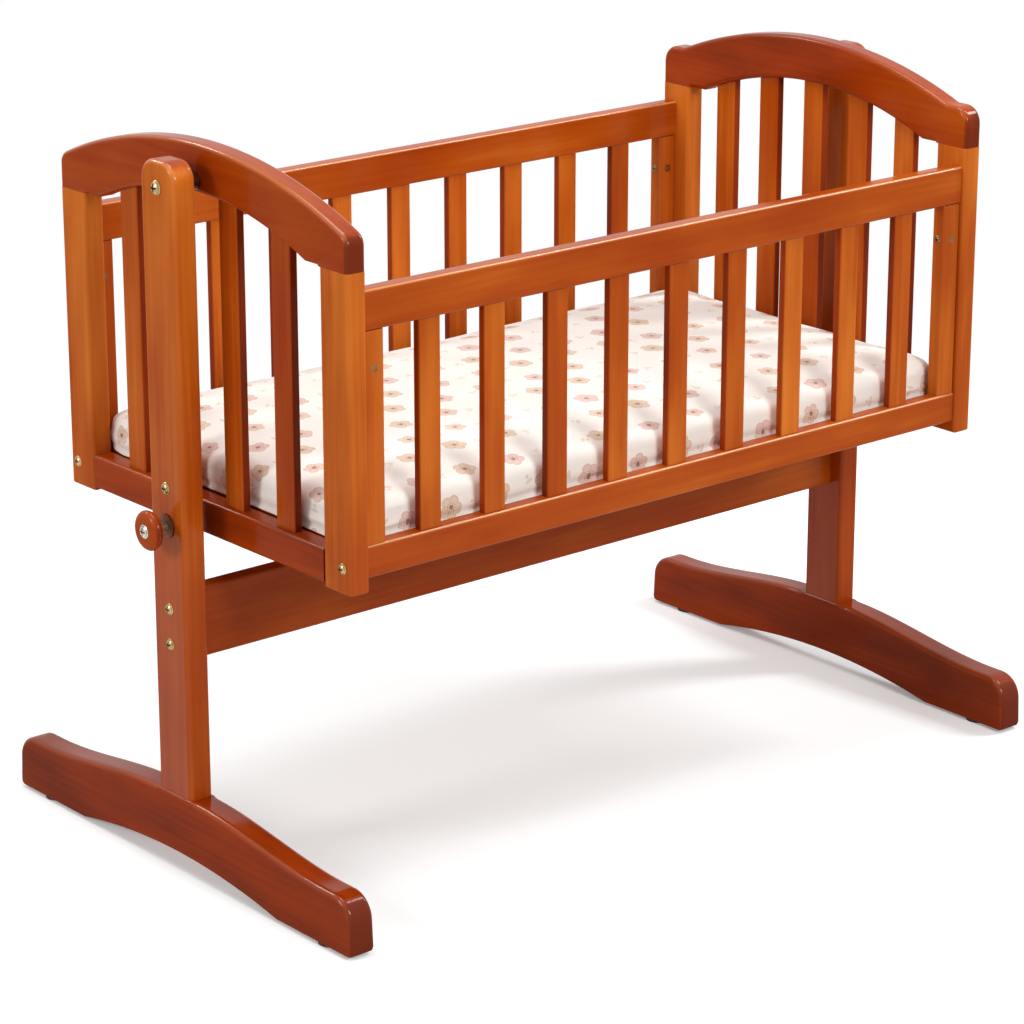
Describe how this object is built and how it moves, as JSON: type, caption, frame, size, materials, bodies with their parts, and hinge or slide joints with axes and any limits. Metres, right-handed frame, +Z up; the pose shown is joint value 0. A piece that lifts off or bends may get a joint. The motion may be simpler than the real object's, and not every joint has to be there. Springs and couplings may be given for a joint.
{
  "type": "swinging cradle on stand",
  "caption": "Slatted wooden cradle with arched ends, hung on pivots between two posts of a footed stand, with a lock knob and a mattress.",
  "frame": {"origin": "on the floor, under the middle of the whole object's box; the cradle's own middle is 16 mm along +X, because the lock knob stands out at the -X end", "axes": "X along the cradle, from the end with the lock knob (-X) to the far end (+X); Y across it, front at -Y; +Z up"},
  "size_m": [1.101, 0.65, 0.84],
  "materials": {
    "stained_pine": "reddish-brown stain under satin lacquer",
    "board": "stained plywood",
    "brass": "polished",
    "bronze": "dark",
    "steel": "satin zinc",
    "rubber": "matt",
    "sheet_cloth": "printed cotton sheet"
  },
  "bodies": {
    "stand": {"near_post": "stained_pine", "far_post": "stained_pine", "near_foot": "stained_pine", "far_foot": "stained_pine", "foot_pads": "rubber", "foot_bolts": "steel", "stretcher": "stained_pine", "stretcher_bolts": "brass", "stretcher_inserts": "steel", "pivot_bushes": "brass", "lock_bush": "bronze", "post_screw": "brass"},
    "cradle": {"near_arch": "stained_pine", "far_arch": "stained_pine", "near_front_stile": "stained_pine", "near_back_stile": "stained_pine", "far_front_stile": "stained_pine", "far_back_stile": "stained_pine", "near_bottom_rail": "stained_pine", "far_bottom_rail": "stained_pine", "near_slat_1": "stained_pine", "near_slat_2": "stained_pine", "near_slat_3": "stained_pine", "near_slat_4": "stained_pine", "far_slat_1": "stained_pine", "far_slat_2": "stained_pine", "far_slat_3": "stained_pine", "far_slat_4": "stained_pine", "far_slat_5": "stained_pine", "front_top_rail": "stained_pine", "front_bottom_rail": "stained_pine", "front_near_upright": "stained_pine", "front_far_upright": "stained_pine", "front_slats": "stained_pine", "back_top_rail": "stained_pine", "back_bottom_rail": "stained_pine", "back_near_upright": "stained_pine", "back_far_upright": "stained_pine", "back_slats": "stained_pine", "base_board": "board", "base_cleats": "stained_pine", "mattress": "sheet_cloth", "corner_bolts": "brass", "corner_nuts": "steel", "side_studs": "brass", "side_nuts": "brass", "pivot_bolts": "brass", "pivot_spacers": "brass", "pivot_inserts": "steel"},
    "lock": {"lock_knob": "stained_pine", "lock_rod": "steel", "lock_pad": "rubber", "knob_screw": "steel"}
  },
  "joints": [
    {"name": "cradle_swing", "type": "hinge", "parent": "stand", "child": "cradle", "pos_m": [0.01593, 0, 0.798], "axis": [1, 0, 0], "range_deg": [-10, 10]},
    {"name": "lock_slide", "type": "slide", "parent": "stand", "child": "lock", "axis": [1, 0, 0], "range_m": [0, 0.01155]}
  ]
}
